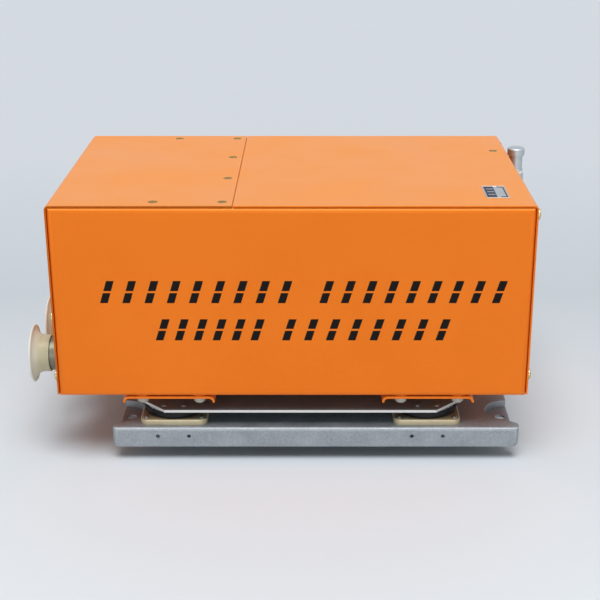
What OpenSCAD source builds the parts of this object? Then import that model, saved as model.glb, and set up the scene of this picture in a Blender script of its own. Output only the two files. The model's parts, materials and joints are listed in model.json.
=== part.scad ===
/* [Housing] */
// Width of the front panel
body_w = 400; // [380:1:440]
// Depth of the chassis, front panel to rear panel
body_d = 250; // [240:1:290]
// Height of the chassis
body_h = 168.3; // [160:0.1:200]
// Thickness of the housing sheet
sheet = 1.5; // [1:0.1:2]
// Outside radius of the bends round the front and rear panels
bend_r = 5; // [3:0.5:6]
// Outside radius of the chassis edges that the covers wrap
edge_r = 2.5; // [2.2:0.1:4]
// Depth of the flanges that carry the top of the covers
top_flange = 20; // [18:1:26]
// Depth of the flanges that carry the sides of the covers
side_flange = 16; // [14:1:22]
// Height of the sills along the bottom of both sides
sill_h = 12; // [6:1:12]

/* [Covers] */
// Place of the seam between the covers, from the middle
seam_x = -48; // [-56:1:-40]
// Gap at the seam
seam_gap = 0.6; // [0.3:0.1:1.5]
// How far the covers stop behind the front panel
cover_inset = 1; // [0:0.5:3]
// Height of the covers' lower edges above the underside
cover_hem = 1.5; // [0.5:0.5:4]
// Width of the data plate
plate_w = 19.5; // [15:0.5:26]
// Length of the data plate
plate_d = 36.5; // [30:0.5:50]
// Thickness of the data plate
plate_t = 0.6; // [0.5:0.1:1]
// Width of the data plate's raised rim
plate_rim = 1; // [0.6:0.1:2]
// Distance of the data plate's middle from the right edge
plate_in = 29; // [24:0.5:40]
// Distance of the data plate's middle from the front panel
plate_back = 41.5; // [36:0.5:70]

/* [Cover screws] */
// Radius of the screw shanks
screw_r = 2; // [1.5:0.1:2.3]
// Radius of the countersunk heads
flat_head_r = 4; // [3.5:0.1:4.8]
// Radius of the pan heads
pan_head_r = 4.8; // [4:0.1:5.5]
// Height of the pan heads
pan_head_h = 2.4; // [1.8:0.1:3]
// Radius of the nuts behind the flanges
nut_r = 4; // [3.5:0.1:4.5]
// Height of the nuts behind the flanges
nut_h = 4; // [3:0.1:4.2]
// Distance of the end screws from the front and rear panels
screw_edge = 12.5; // [11:0.5:13.5]
// Distance of the inner screw row from the seam
seam_screw = 9; // [7:0.5:11]
// Distance of the outer top screws from the seam
outer_screw = 66; // [50:1:90]
// Distance of the side screws from the front and rear panels
side_screw = 9; // [8:0.5:10]
// Height of the lower side screws on the left
left_low = 16.5; // [14:0.5:30]
// Height of the upper side screws on the left
left_high = 70; // [60:1:120]
// Height of the lower side screws on the right
right_low = 17.5; // [12:0.5:30]
// Drop of the upper side screws on the right below the top
right_drop = 8; // [7:0.5:20]

/* [Bulkhead] */
// Distance of the bulkhead's web from the seam
bulk_set = 4; // [2:0.5:8]
// Width of the bulkhead's flanges
bulk_flange = 22; // [18:1:26]

/* [Connectors] */
// Height of the connectors above the underside
connector_z = 28.3; // [24:0.1:34]
// Distance of the first connector from the front panel
connector_y = 30; // [29:1:40]
// Distance between the two connectors
connector_pitch = 72; // [60:1:90]
// Side of the square flanges
flange_w = 34; // [31:0.5:36]
// Thickness of the square flanges
flange_t = 2.5; // [1.5:0.1:3.5]
// Radius of the barrels
barrel_r = 14; // [11:0.1:14]
// Wall of the barrels
barrel_wall = 1.8; // [1.2:0.1:2.5]
// Length of the barrels behind the bracket's face
rear_len = 14; // [8:0.5:20]
// Radius of the clearance holes in the cover
barrel_hole = 15; // [14.5:0.1:17]
// Radius of the contact pins
pin_r = 0.8; // [0.5:0.1:1]
// Radius of the flange screws
flange_screw_r = 1.5; // [1:0.1:1.6]
// Thickness of the connector bracket
bracket_t = 2; // [1.5:0.1:3]
// Radius of the leads behind the connectors
lead_r = 5; // [3:0.5:7]
// Length of the leads to the interface board
lead_len = 14; // [8:1:24]

/* [Dust caps] */
// Distance from the housing to the caps' skirts
cap_stand = 8.5; // [4:0.5:12]
// Length of the straight skirt
cap_neck = 5.5; // [4:0.5:10]
// Wall of the caps
cap_wall = 2; // [1:0.1:2.5]
// Radius of the flare
flare_r = 8; // [6:0.5:13]
// Radius of the bead round the lip
bead_r = 1; // [0.8:0.1:1.5]

/* [Pipe union] */
// Distance of the union from the rear panel
union_rear = 40; // [34:1:60]
// Height of the union's spigot above the underside
union_z = 133.3; // [110:0.1:136]
// Distance of the upright stem from the housing
union_reach = 12; // [11:0.5:18]
// Radius of the elbow
elbow_r = 8.2; // [7.2:0.1:9]
// Height of the elbow above the spigot
elbow_up = 10; // [9:0.5:14]
// Radius of the spigot
spigot_r = 6; // [5:0.1:6.5]
// Radius of the stem's thread
stem_r = 4.5; // [3.5:0.1:4.8]
// Radius of the bore
union_bore = 2.5; // [1.5:0.1:3]
// Thickness of the collar against the cover
collar_t = 2.5; // [1.5:0.1:3]
// Thickness of the white seal
seal_t = 2; // [1:0.1:3]
// Radius of the cap's sleeve
sleeve_r = 6.6; // [5.5:0.1:7]
// Length of the cap's sleeve
sleeve_len = 15; // [10:0.5:20]
// Radius of the cap's head
cap_head_r = 8.2; // [7:0.1:9]
// Height of the cap's head
cap_head_h = 7; // [4:0.5:10]
// Distance across the corners of the locknut
locknut_w = 20; // [17:0.5:24]
// Thickness of the locknut
locknut_t = 5; // [3:0.5:7]
// Distance of the bracket's screw from the right edge
union_screw_in = 12; // [10:0.5:16]
// Distance of the bracket's screw in front of the spigot
union_screw_fwd = 23; // [16:0.5:28]

/* [Rails] */
// Width of a rail
rail_w = 79; // [74:0.5:86]
// Height of a rail
rail_h = 5.5; // [5.2:0.1:9]
// Thickness of a rail
rail_t = 2; // [1.5:0.1:2.5]
// Outside radius of a rail's shoulders
rail_r = 5; // [3:0.1:5.1]
// How much further apart the rails are than the isolators
rail_spread = 2; // [0:0.5:4]
// How far the rails stop behind the front panel
rail_inset = 2; // [0:0.5:8]
// Radius of the rail bolts
bolt_r = 3; // [2.5:0.1:3.4]
// Radius of the rail bolts' heads
bolt_head_r = 5; // [4.5:0.1:6]
// Height of the rail bolts' heads
bolt_head_h = 5.7; // [4:0.1:7]
// Distance between the two bolts across a rail
bolt_pitch = 49; // [47:0.5:52]
// Shift of the bolts from the middle of a rail
bolt_shift = 1.5; // [0:0.1:2]
// Distance of the bolts from the rails' front and rear ends
bolt_edge = 8; // [7.5:0.5:14]
// Radius of the spacers between the rails and the suspended plate
spacer_r = 6; // [5:0.1:8]
// Length of the spacers
spacer_h = 13.2; // [10:0.1:20]
// Radius of the spacers' spigots in the rails
spacer_spigot = 4; // [3.5:0.1:4.5]
// Radius of the washers between rail and housing
washer_r = 7; // [5:0.5:10]
// Thickness of the washers
washer_t = 1; // [0.5:0.1:3]

/* [Suspended plate] */
// Width of the plate
susp_w = 288; // [284:1:300]
// Depth of the plate
susp_d = 235; // [225:1:240]
// Thickness of the plate
susp_t = 2.5; // [2:0.1:4]
// Length of the cut corners along the front
corner_x = 26; // [12:1:28]
// Length of the cut corners along the sides
corner_y = 26; // [10:0.5:28]
// Place of the suspension, from the middle
support_x = 6.5; // [4:0.5:9]

/* [Isolators] */
// Distance between the isolators, left to right
iso_pitch_x = 221; // [214:1:226]
// Distance between the isolators, front to rear
iso_pitch_y = 174; // [165:1:178]
// Height of an isolator
iso_h = 12.5; // [11:0.5:18]
// Side of the square base
base_w = 58.5; // [56:0.5:60]
// Height of the square base
base_h = 5; // [3:0.1:6]
// Thickness of the base over the rubber's foot
base_t = 1.6; // [1.2:0.1:2]
// Radius of the base's corners
base_r = 7; // [5:0.5:10]
// Radius of the opening in the base
base_hole = 21; // [16:0.5:22]
// Radius of the rubber's skirt
rubber_r = 28.5; // [27.5:0.5:30]
// Radius of the skirt's lower edge
skirt_r = 2.4; // [1:0.1:2.6]
// Gap between the skirt and the base
skirt_gap = 0.5; // [0.5:0.1:2]
// Radius of the bore through the rubber
rubber_bore = 6; // [4:0.5:9]
// Radius of the steel disc on the rubber
disc_r = 27; // [26:0.5:29]
// Thickness of the steel disc
disc_t = 1.6; // [1.2:0.1:2]
// Half the distance between the plate rivets, left to right
rivet_x = 8.4; // [6:0.1:10]
// Half the distance between the plate rivets, front to rear
rivet_y = 21.4; // [20.5:0.1:22]
// Radius of the rivets
rivet_r = 1.5; // [1.2:0.1:1.7]
// Radius of the rivets' heads
rivet_head_r = 2.6; // [2.2:0.1:2.7]
// Height of the rivets' heads
rivet_head_h = 1.3; // [1:0.1:1.4]
// Distance of the base rivets from the base's edges
base_rivet_in = 5.2; // [5:0.1:5.6]

/* [Tray] */
// Width of the tray
tray_w = 354; // [344:1:366]
// Depth of the tray
tray_d = 244; // [238:1:250]
// Height of the tray
tray_h = 18; // [16:0.5:24]
// Wall of the tray
tray_t = 2; // [1.5:0.1:2.5]
// Place of the tray, from the middle
tray_x = 20; // [16:0.5:24]
// Outside radius of the tray's upper edge
tray_bend = 3; // [2.6:0.1:4]
// Radius of the rim's corners
tray_r = 5; // [3:0.5:6]
// Depth of the rim's returns at the tray's ends
return_d = 12; // [11:0.5:18]
// How far the deck's side edges stand back from the rim
side_step = 4.5; // [3:0.5:6]
// Radius of the half-round pockets
pocket_r = 21.5; // [16:0.5:22]
// Depth of the half-round pockets
pocket_h = 6; // [4:0.5:8]
// Radius of the hold-down holes
hold_r = 4.25; // [3:0.05:5]
// Distance of the hold-down holes from the deck's side edges
hold_in = 8; // [7:0.5:11]
// Radius of the rim's small holes
rim_hole_r = 1.7; // [1:0.1:2.5]
// Distance between the rim's small holes
rim_hole_pitch = 27; // [20:0.5:34]
// Height of the rim's small holes
rim_hole_z = 10; // [7:0.5:11]

/* [Boards] */
// Thickness of the circuit boards
board_t = 1.6; // [1.2:0.1:2.4]
// Depth of the circuit boards
board_d = 212; // [208:1:220]
// Distance of the rows of posts inside the rows of rail bolts
post_in = 30; // [20:0.5:34]
// Distance of the posts from the boards' left and right edges
post_side = 16; // [14:0.5:20]
// Radius of the posts
post_r = 3.5; // [3:0.1:4]
// Radius of the post screws
post_screw_r = 1.5; // [1:0.1:1.8]
// Height of the edge headers
header_h = 10; // [8:0.5:12]
// Distance of the power board above the processor board
power_rise = 40; // [30:1:50]

/* [Memory capsule] */
// Outside radius of the capsule
capsule_r = 70; // [64:1:74]
// Wall of the capsule
capsule_wall = 12; // [8:0.5:14]
// Height of the capsule's body
capsule_h = 118; // [105:1:120]
// Radius of the capsule's flanges
capsule_flange_r = 83; // [82:0.5:84]
// Thickness of the capsule's flanges and lid
capsule_flange_t = 11; // [8:0.5:12]
// Width of the capsule's base plate
capsule_base_w = 190; // [176:1:200]
// Depth of the capsule's base plate
capsule_base_d = 172; // [170:1:176]
// Thickness of the capsule's base plate
capsule_base_t = 8; // [6:0.5:10]
// Thickness of the gasket under the lid
gasket_t = 1.5; // [1:0.1:2]
// Radius of the capsule's bolts
capsule_bolt_r = 3; // [2:0.1:3.4]
// Number of bolts in the lid
lid_bolts = 8; // [6:1:12]
// Number of bolts in the foot
foot_bolts = 6; // [4:1:8]
// Thickness of the heat insulation
insulation_t = 18; // [12:0.5:20]
// Side of the memory module
memory_w = 48; // [40:1:50]
// Height of the memory module
memory_h = 56; // [40:1:60]
// Radius of the memory cable
cable_r = 3; // [2:0.1:4]

/* [Hidden] */
$fn = 48;
// Clearance between a shank and its hole
fit = 0.1;
// Length by which cuts run past a surface
over = 1;
// Metal left round a hole or a nut
margin = 3;
// Room left at the end of a thread or a blind hole
relief = 2;

orange = [0.93, 0.42, 0.08];
steel = [0.72, 0.73, 0.74];
zinc = [0.78, 0.66, 0.36];
grey = [0.58, 0.61, 0.64];
cream = [0.82, 0.76, 0.62];
black = [0.06, 0.06, 0.06];
board_green = [0.1, 0.35, 0.2];

// Levels of the stack, from the tray's lower edge up
susp_z = tray_h + iso_h;
spacer_z = susp_z + susp_t;
web_z = spacer_z + spacer_h;
rail_top = web_z + rail_t;
body_z = rail_top + washer_t;
floor_z = body_z + sheet;
top_z = body_z + body_h;
front_y = -body_d / 2;
rear_y = body_d / 2;
side_x = body_w / 2;
cover_x = side_x + sheet;

// Places of the cover screws
end_y = body_d / 2 - screw_edge;
seam_rows = [-1, -1 / 3, 1 / 3, 1];
seam_places = [for (row = seam_rows) [seam_x - seam_screw, row * end_y]];
outer_places = [for (side = [-1, 1]) [seam_x - outer_screw, side * end_y]];
union_y = rear_y - union_rear;
union_place = [side_x - union_screw_in, union_y - union_screw_fwd];
top_places = concat(seam_places, outer_places, [union_place]);
flat_head_h = sheet - fit;
top_screw_len = 2 * sheet + nut_h;
pan_screw_len = 2 * sheet + nut_h;
side_y = body_d / 2 - side_screw;
left_rows = [left_low, left_high];
right_rows = [right_low, body_h - right_drop];

bulk_x = seam_x + bulk_set;
bulk_d = body_d - 2 * top_flange - 2 * fit;

// Connectors: the bracket stands back to clear the sill and the flange screws
flange_screw_h = 1.5;
flange_screw_in = 4;
bracket_set = sheet + flange_t + flange_screw_h + 3 * fit;
bracket_x = -side_x + bracket_set;
bracket_h = connector_z + flange_w / 2 + margin;
bracket_foot = 16;
barrel_len = bracket_set + sheet + cap_stand + cap_neck;
insert_r = barrel_r - barrel_wall - fit;
insert_out = 4;
insert_len = rear_len + flange_t + insert_out;
pin_rings = [[0, 1], [0.42, 6], [0.8, 12]];
pin_out = 7;
flange_head_r = 2.7;
flange_corner = flange_w / 2 - flange_screw_in;
flange_places = [for (x = [-1, 1], y = [-1, 1]) [x * flange_corner, y * flange_corner]];
connector_places = [front_y + connector_y, front_y + connector_y + connector_pitch];
lip_r = barrel_r + fit + cap_wall + flare_r;
cap_reach = cap_stand + cap_neck + flare_r + cap_wall / 2 + bead_r;

stem_x = cover_x + union_reach;
stem_len = sleeve_len - relief;
collar_r = spigot_r + margin;
seal_step = 0.3;
spigot_in = 2 * sheet + locknut_t + relief;

// Rails: bolts at their ends hold them to the housing, spacers carry them on the suspended plate
rail_mid = support_x - bolt_shift;
rail_pitch = iso_pitch_x + rail_spread;
rail_x = [rail_mid - rail_pitch / 2, rail_mid + rail_pitch / 2];
rail_d = body_d - 2 * rail_inset;
bolt_y = rail_d / 2 - bolt_edge;
bolt_places = [
    for (x = rail_x, across = [-1, 1], along = [-1, 1])
        [x + bolt_shift + across * bolt_pitch / 2, along * bolt_y]
];
bolt_nut_h = 5;
bolt_nut_r = 5.7;
spacer_thread = 8;
plate_head_h = 4;
head_room = 1;
plate_head_r = rubber_bore - head_room;

iso_places = [
    for (along = [-1, 1], across = [-1, 1])
        [support_x + across * iso_pitch_x / 2, along * iso_pitch_y / 2]
];
rivet_places = [
    for (place = iso_places, along = [-1, 1], across = [-1, 1])
        place + [across * rivet_x, along * rivet_y]
];
foot_r = base_hole + margin;
base_rivet = base_w / 2 - base_rivet_in;
base_rivet_places = [
    for (place = iso_places, along = [-1, 1], across = [-1, 1])
        place + [across * base_rivet, along * base_rivet]
];

deck_w = tray_w - 2 * side_step;
pocket_places = [
    for (along = [-1, 1], across = [-1, 1])
        [tray_x + across * deck_w / 2, along * iso_pitch_y / 2]
];
hold_places = [
    for (along = [-1, 1], across = [-1, 1])
        [tray_x + across * (deck_w / 2 - hold_in), along * iso_pitch_y / 2]
];
rim_hole_places = [
    for (x = [-1, 1], across = [-1, 1])
        support_x + x * iso_pitch_x / 2 + across * rim_hole_pitch / 2
];

// Memory capsule, on a base plate beside the bulkhead's foot
capsule_gap = 5;
capsule_x = bulk_x + bulk_flange + capsule_gap + capsule_base_w / 2;
capsule_z = floor_z + capsule_base_t;
capsule_in = capsule_r - capsule_wall;
lid_z = capsule_z + capsule_h + gasket_t;
bolt_circle = (capsule_r + capsule_flange_r) / 2;
bolt_sink = capsule_base_t - relief;
bolt_cap_h = 5;
bolt_cap_r = capsule_bolt_r * 1.7;
insulation_r = capsule_in - fit;
cavity_h = capsule_h - capsule_wall;
memory_z = capsule_z + capsule_wall + insulation_t;
cable_z = memory_z + memory_h / 2;

// Boards, between the leads and the bulkhead
board_gap = 4;
board_left = bracket_x + rear_len + lead_len;
board_right = bulk_x - board_gap;
board_w = board_right - board_left;
board_x = (board_left + board_right) / 2;
board_r = 3;
header_w = 8;
interface_z = body_z + connector_z - header_h / 2 - board_t;
processor_z = cable_z - header_h / 2 - board_t;
power_z = processor_z + power_rise;
board_levels = [interface_z, processor_z, power_z];
post_feet = [floor_z, interface_z + board_t, processor_z + board_t];
post_places = [
    for (along = [-1, 1], across = [-1, 1])
        [board_x + across * (board_w / 2 - post_side), along * (bolt_y - post_in)]
];
post_head_h = 2;
post_screw_len = 10;

// Parts on the boards: line drivers, square chips, wound coils and capacitor cans
package_in = 12;
driver_x = 20;
driver_w = 10;
driver_d = 20;
driver_h = 4;
chip_x = -22;
chip_w = 24;
chip_h = 3;
coil_x = -24;
coil_w = 36;
coil_d = 40;
coil_h = 24;
can_in = 18;
can_pitch = 40;
can_r = 8;
can_h = 22;

// The frame's origin is the middle of the whole footprint
left_reach = cover_x + cap_reach;
right_reach = stem_x + cap_head_r;
centre_shift = (left_reach - right_reach) / 2;

// Rectangle with round corners, about its middle
module round_rect(w, d, r) {
    square([w - 2 * r, d], center = true);
    square([w, d - 2 * r], center = true);
    for (x = [-1, 1], y = [-1, 1])
        translate([x * (w / 2 - r), y * (d / 2 - r)]) circle(r);
}

// Section drawn in y and z, run along x and centred
module run_x(length) {
    translate([length / 2, 0, 0]) rotate([90, 0, -90]) linear_extrude(length) children();
}

// Section drawn in x and z, run along y and centred
module run_y(length) {
    translate([0, length / 2, 0]) rotate([90, 0, 0]) linear_extrude(length) children();
}

// Block with its own edge radius seen from above, from the end and from the front
module soft_block(w, d, h, plan_r, end_r, front_r) {
    intersection() {
        linear_extrude(h) round_rect(w, d, plan_r);
        translate([0, 0, h / 2]) run_x(w) round_rect(d, h, end_r);
        translate([0, 0, h / 2]) run_y(d) round_rect(w, h, front_r);
    }
}

// Round hole through everything between two levels
module hole(place, r, low, high) {
    translate([place[0], place[1], low]) cylinder(r = r, h = high - low);
}

// Ring with a bore, standing on its foot
module ring(r, bore, h) {
    difference() {
        cylinder(r = r, h = h);
        translate([0, 0, -over]) cylinder(r = bore, h = h + 2 * over);
    }
}

// Puts a shape on every place of a list, at one level
module at_each(places, level) {
    for (place = places) translate([place[0], place[1], level]) children();
}

// Points a shape's upward axis out of the left or right side, at one height
module out_of_side(side, x, y, z) {
    translate([side * x, y, z]) rotate([0, side * 90, 0]) children();
}

// Slot across a screw head, cut from the top
module screw_slot(r) {
    slot_w = 1;
    slot_deep = 0.7;
    translate([-r, -slot_w / 2, -slot_deep]) cube([2 * r, slot_w, slot_deep + over]);
}

// Rivet through a pack of sheets, with a low round head at both ends
module rivet(low, high) {
    translate([0, 0, low]) cylinder(r = rivet_r, h = high - low);
    translate([0, 0, high]) cylinder(r1 = rivet_head_r, r2 = rivet_r, h = rivet_head_h);
    translate([0, 0, low - rivet_head_h])
        cylinder(r1 = rivet_r, r2 = rivet_head_r, h = rivet_head_h);
}

// Folded pan of bottom, front and rear, with flanges turned in for the covers
module chassis() {
    window_d = body_d - 2 * side_flange;
    deep = bend_r;
    color(orange) difference() {
        translate([0, 0, body_z])
            soft_block(body_w, body_d, body_h, bend_r, bend_r, edge_r);
        translate([0, 0, floor_z])
            soft_block(body_w - 2 * sheet, body_d - 2 * sheet, body_h - 2 * sheet,
                       bend_r - sheet, bend_r - sheet, edge_r - sheet);
        translate([-body_w, front_y + top_flange, top_z - deep])
            cube([2 * body_w, body_d - 2 * top_flange, 2 * deep]);
        for (side = [-1, 1])
            translate([side * side_x - deep, -window_d / 2, body_z + sill_h])
                cube([2 * deep, window_d, body_h]);
        for (place = concat(seam_places, outer_places))
            hole(place, screw_r + fit, top_z - 2 * sheet, top_z + over);
        for (place = bolt_places) hole(place, bolt_r + fit, body_z - over, floor_z + over);
        side_screw_holes(side_x - 2 * sheet, cover_x);
    }
}

// Holes for the side screws in the flanges and the covers
module side_screw_holes(from_x, to_x) {
    for (y = [-side_y, side_y]) {
        for (z = left_rows)
            out_of_side(-1, from_x, y, body_z + z) cylinder(r = screw_r + fit, h = to_x - from_x + over);
        for (z = right_rows)
            out_of_side(1, from_x, y, body_z + z) cylinder(r = screw_r + fit, h = to_x - from_x + over);
    }
}

// Sheet folded over the top and both sides, before it is parted at the seam
module hood() {
    translate([0, 0, body_z]) run_y(body_d - 2 * cover_inset) difference() {
        round_rect(body_w + 2 * sheet, 2 * (body_h + sheet), edge_r + sheet);
        round_rect(body_w, 2 * body_h, edge_r);
        translate([-body_w, cover_hem - 2 * body_h]) square([2 * body_w, 2 * body_h]);
    }
}

// Countersunk hole through a cover's top
module countersink(place) {
    hole(place, screw_r + fit, top_z - over, top_z + sheet + over);
    translate([place[0], place[1], top_z + sheet - flat_head_h])
        cylinder(r1 = screw_r + fit, r2 = flat_head_r + fit, h = flat_head_h);
}

module left_cover() {
    reach = body_w + seam_x - seam_gap / 2;
    color(orange) difference() {
        intersection() {
            hood();
            translate([-body_w, -body_d, 0]) cube([reach, 2 * body_d, 2 * top_z]);
        }
        for (place = concat(seam_places, outer_places)) countersink(place);
        side_screw_holes(side_x - over, cover_x);
        for (y = connector_places)
            out_of_side(-1, side_x - over, y, body_z + connector_z)
                cylinder(r = barrel_hole, h = sheet + 2 * over);
    }
}

module right_cover() {
    color(orange) difference() {
        intersection() {
            hood();
            translate([seam_x + seam_gap / 2, -body_d, 0]) cube([2 * body_w, 2 * body_d, 2 * top_z]);
        }
        countersink(union_place);
        side_screw_holes(side_x - over, cover_x);
        out_of_side(1, side_x - over, union_y, body_z + union_z)
            cylinder(r = spigot_r + fit, h = sheet + 2 * over);
    }
}

module cover_screws() {
    color(zinc) at_each(top_places, top_z + sheet) difference() {
        union() {
            translate([0, 0, -flat_head_h]) cylinder(r1 = screw_r, r2 = flat_head_r, h = flat_head_h);
            translate([0, 0, -top_screw_len]) cylinder(r = screw_r, h = top_screw_len - flat_head_h);
        }
        screw_slot(flat_head_r + fit);
    }
}

// Pan-head screw, its head seated at the origin and pointing up
module pan_screw() {
    rim = pan_head_h / 3;
    difference() {
        union() {
            translate([0, 0, -pan_screw_len]) cylinder(r = screw_r, h = pan_screw_len);
            cylinder(r = pan_head_r, h = pan_head_h - rim);
            translate([0, 0, pan_head_h - rim])
                cylinder(r1 = pan_head_r, r2 = pan_head_r - 1.5 * rim, h = rim);
        }
        translate([0, 0, pan_head_h]) screw_slot(pan_head_r + fit);
    }
}

module side_screws() {
    color(zinc) for (y = [-side_y, side_y]) {
        for (z = left_rows) out_of_side(-1, cover_x, y, body_z + z) pan_screw();
        for (z = right_rows) out_of_side(1, cover_x, y, body_z + z) pan_screw();
    }
}

module cover_nuts() {
    color(steel) {
        at_each(top_places, top_z - sheet - nut_h) ring(nut_r, screw_r + fit, nut_h);
        for (y = [-side_y, side_y]) {
            for (z = left_rows)
                out_of_side(-1, side_x - sheet - nut_h, y, body_z + z) ring(nut_r, screw_r + fit, nut_h);
            for (z = right_rows)
                out_of_side(1, side_x - sheet - nut_h, y, body_z + z) ring(nut_r, screw_r + fit, nut_h);
        }
    }
}

// Upright Z section under the seam: top flange to the left, foot to the right
module bulkhead() {
    room_d = body_d - 2 * sheet - 2 * bend_r;
    color(orange) difference() {
        union() {
            translate([bulk_x, -room_d / 2, floor_z]) cube([sheet, room_d, body_h - 2 * sheet]);
            translate([bulk_x, -bulk_d / 2, floor_z]) cube([sheet, bulk_d, body_h - sheet]);
            translate([bulk_x - bulk_flange, -bulk_d / 2, top_z - sheet])
                cube([bulk_flange + sheet, bulk_d, sheet]);
            translate([bulk_x, -bulk_d / 2, floor_z]) cube([bulk_flange, bulk_d, sheet]);
        }
        for (place = seam_places) hole(place, screw_r + fit, top_z - 2 * sheet, top_z + over);
        translate([bulk_x - over, 0, cable_z]) rotate([0, 90, 0])
            cylinder(r = cable_r + 2 * fit, h = sheet + 2 * over);
    }
}

module data_plate() {
    field = plate_t / 3;
    color(steel) translate([side_x - plate_in, front_y + plate_back, top_z + sheet]) difference() {
        linear_extrude(plate_t) round_rect(plate_w, plate_d, plate_rim);
        translate([0, 0, plate_t - field]) linear_extrude(plate_t)
            square([plate_w - 2 * plate_rim, plate_d - 2 * plate_rim], center = true);
    }
}

// Puts a shape on a connector's axis, with its flange seat at the origin
module at_connector(i) {
    translate([bracket_x, connector_places[i], body_z + connector_z]) rotate([0, -90, 0]) children();
}

module connector_bracket() {
    first = connector_places[0] - flange_w / 2;
    length = connector_pitch + flange_w + margin;
    color(steel) difference() {
        union() {
            translate([bracket_x, first, floor_z]) cube([bracket_t, length, bracket_h - sheet]);
            translate([bracket_x, first, floor_z]) cube([bracket_foot, length, bracket_t]);
        }
        for (i = [0, 1]) at_connector(i) {
            translate([0, 0, -bracket_foot - over])
                cylinder(r = barrel_r + fit, h = bracket_foot + 2 * over);
            for (place = flange_places)
                hole(place, flange_screw_r + fit, -bracket_t - over, over);
        }
    }
}

module connector_shell(i) {
    rib = 0.8;
    color(steel) at_connector(i) difference() {
        union() {
            linear_extrude(flange_t) difference() {
                round_rect(flange_w, flange_w, flange_screw_in);
                for (place = flange_places) translate(place) circle(flange_screw_r + fit);
            }
            translate([0, 0, -rear_len]) cylinder(r = barrel_r, h = rear_len + barrel_len);
            translate([0, 0, bracket_set + sheet + rib])
                cylinder(r = barrel_r + rib, h = cap_stand - 3 * rib);
        }
        translate([0, 0, -rear_len - over])
            cylinder(r = barrel_r - barrel_wall, h = rear_len + barrel_len + 2 * over);
    }
}

// Places of a connector's contact pins, on rings about its axis
function pin_places() = [
    for (ring_row = pin_rings, n = [0 : ring_row[1] - 1])
        let (turn = 360 * n / ring_row[1])
            ring_row[0] * insert_r * [cos(turn), sin(turn)]
];

module connector_insert(i) {
    color(black) at_connector(i) difference() {
        translate([0, 0, -rear_len]) cylinder(r = insert_r, h = insert_len);
        for (place = pin_places()) hole(place, pin_r + fit, -rear_len - over, insert_len);
    }
}

module connector_pins() {
    color(zinc) for (i = [0, 1]) at_connector(i)
        at_each(pin_places(), -rear_len) cylinder(r = pin_r, h = insert_len + pin_out, $fn = 16);
}

module connector_screws() {
    color(steel) for (i = [0, 1]) at_connector(i) at_each(flange_places, flange_t) {
        translate([0, 0, -flange_t - bracket_t - flange_screw_h])
            cylinder(r = flange_screw_r, h = flange_t + bracket_t + flange_screw_h);
        cylinder(r = flange_head_r, h = flange_screw_h);
    }
}

module connector_leads() {
    color(black) for (i = [0, 1]) at_connector(i)
        translate([0, 0, -rear_len - lead_len]) cylinder(r = lead_r, h = lead_len);
}

// Moulded cap: skirt over the barrel, closed end, flared lip with a bead
module dust_cap(i) {
    inner = barrel_r + fit;
    outer = inner + cap_wall;
    color(cream) at_connector(i) translate([0, 0, bracket_set + sheet + cap_stand])
        rotate_extrude() union() {
            translate([inner, 0]) square([cap_wall, cap_neck + cap_wall]);
            translate([0, cap_neck]) square([inner + cap_wall / 2, cap_wall]);
            difference() {
                intersection() {
                    translate([lip_r, cap_neck]) circle(flare_r + cap_wall);
                    translate([inner, cap_neck]) square([lip_r - inner, flare_r + cap_wall]);
                }
                translate([lip_r, cap_neck]) circle(flare_r);
            }
            translate([lip_r, cap_neck + flare_r + cap_wall / 2]) circle(bead_r);
        }
}

// Puts a shape on the union's stem, level with its spigot
module at_stem() {
    translate([stem_x, union_y, body_z + union_z]) children();
}

module union_elbow() {
    inside = stem_x - side_x + spigot_in;
    color(steel) at_stem() difference() {
        union() {
            sphere(elbow_r);
            cylinder(r = elbow_r, h = elbow_up);
            cylinder(r = stem_r, h = elbow_up + seal_t + stem_len);
            translate([-inside, 0, 0]) rotate([0, 90, 0]) cylinder(r = spigot_r, h = inside);
            translate([-union_reach, 0, 0]) rotate([0, 90, 0]) cylinder(r = collar_r, h = collar_t);
        }
        cylinder(r = union_bore, h = elbow_up + seal_t + stem_len + over);
        translate([-inside - over, 0, 0]) rotate([0, 90, 0]) cylinder(r = union_bore, h = inside + over);
    }
}

module union_seal() {
    color("white") at_stem() translate([0, 0, elbow_up]) ring(elbow_r - seal_step, stem_r + fit, seal_t);
}

// Cap screwed on the stem: foot flange, plain sleeve and a wider head
module union_cap() {
    foot_t = 1;
    chamfer = 0.8;
    color(steel) at_stem() translate([0, 0, elbow_up + seal_t]) difference() {
        union() {
            cylinder(r = sleeve_r + foot_t, h = foot_t);
            cylinder(r = sleeve_r, h = sleeve_len);
            translate([0, 0, sleeve_len]) cylinder(r = cap_head_r, h = cap_head_h - chamfer);
            translate([0, 0, sleeve_len + cap_head_h - chamfer])
                cylinder(r1 = cap_head_r, r2 = cap_head_r - chamfer, h = chamfer);
        }
        translate([0, 0, -over]) cylinder(r = stem_r + fit, h = stem_len + 2 * over);
    }
}

module union_locknut() {
    color(steel) out_of_side(1, side_x - sheet - locknut_t, union_y, body_z + union_z) difference() {
        cylinder(d = locknut_w, h = locknut_t, $fn = 6);
        translate([0, 0, -over]) cylinder(r = spigot_r + fit, h = locknut_t + 2 * over);
    }
}

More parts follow.
